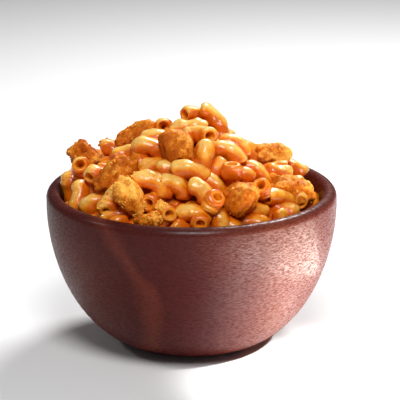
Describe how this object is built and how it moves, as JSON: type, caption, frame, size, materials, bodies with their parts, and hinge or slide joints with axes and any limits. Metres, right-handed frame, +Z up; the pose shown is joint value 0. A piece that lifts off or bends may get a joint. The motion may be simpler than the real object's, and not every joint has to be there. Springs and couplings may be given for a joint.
{
  "type": "bowl of macaroni and cheese with chicken",
  "caption": "Turned wooden bowl heaped with sauced elbow macaroni and pieces of breaded chicken, standing on its flat foot.",
  "frame": {"origin": "on the table, under the middle of the bowl's foot", "axes": "+Z up, -Y towards the guest, +X to the guest's right"},
  "size_m": [0.15, 0.15, 0.1254],
  "materials": {
    "bowl": "satin lacquer over reddish brown hardwood",
    "macaroni_heap": "glossy orange cheese sauce; plastic stands in for cooked pasta",
    "chicken": "rough golden brown crumb; plastic stands in for breaded chicken"
  },
  "bodies": {
    "root": {"bowl": "bowl", "macaroni_heap": "macaroni_heap", "chicken_01": "chicken", "chicken_02": "chicken", "chicken_03": "chicken", "chicken_04": "chicken", "chicken_05": "chicken", "chicken_06": "chicken", "chicken_07": "chicken", "chicken_08": "chicken", "chicken_09": "chicken", "chicken_10": "chicken", "chicken_11": "chicken", "chicken_12": "chicken", "chicken_13": "chicken", "chicken_14": "chicken"}
  },
  "joints": []
}
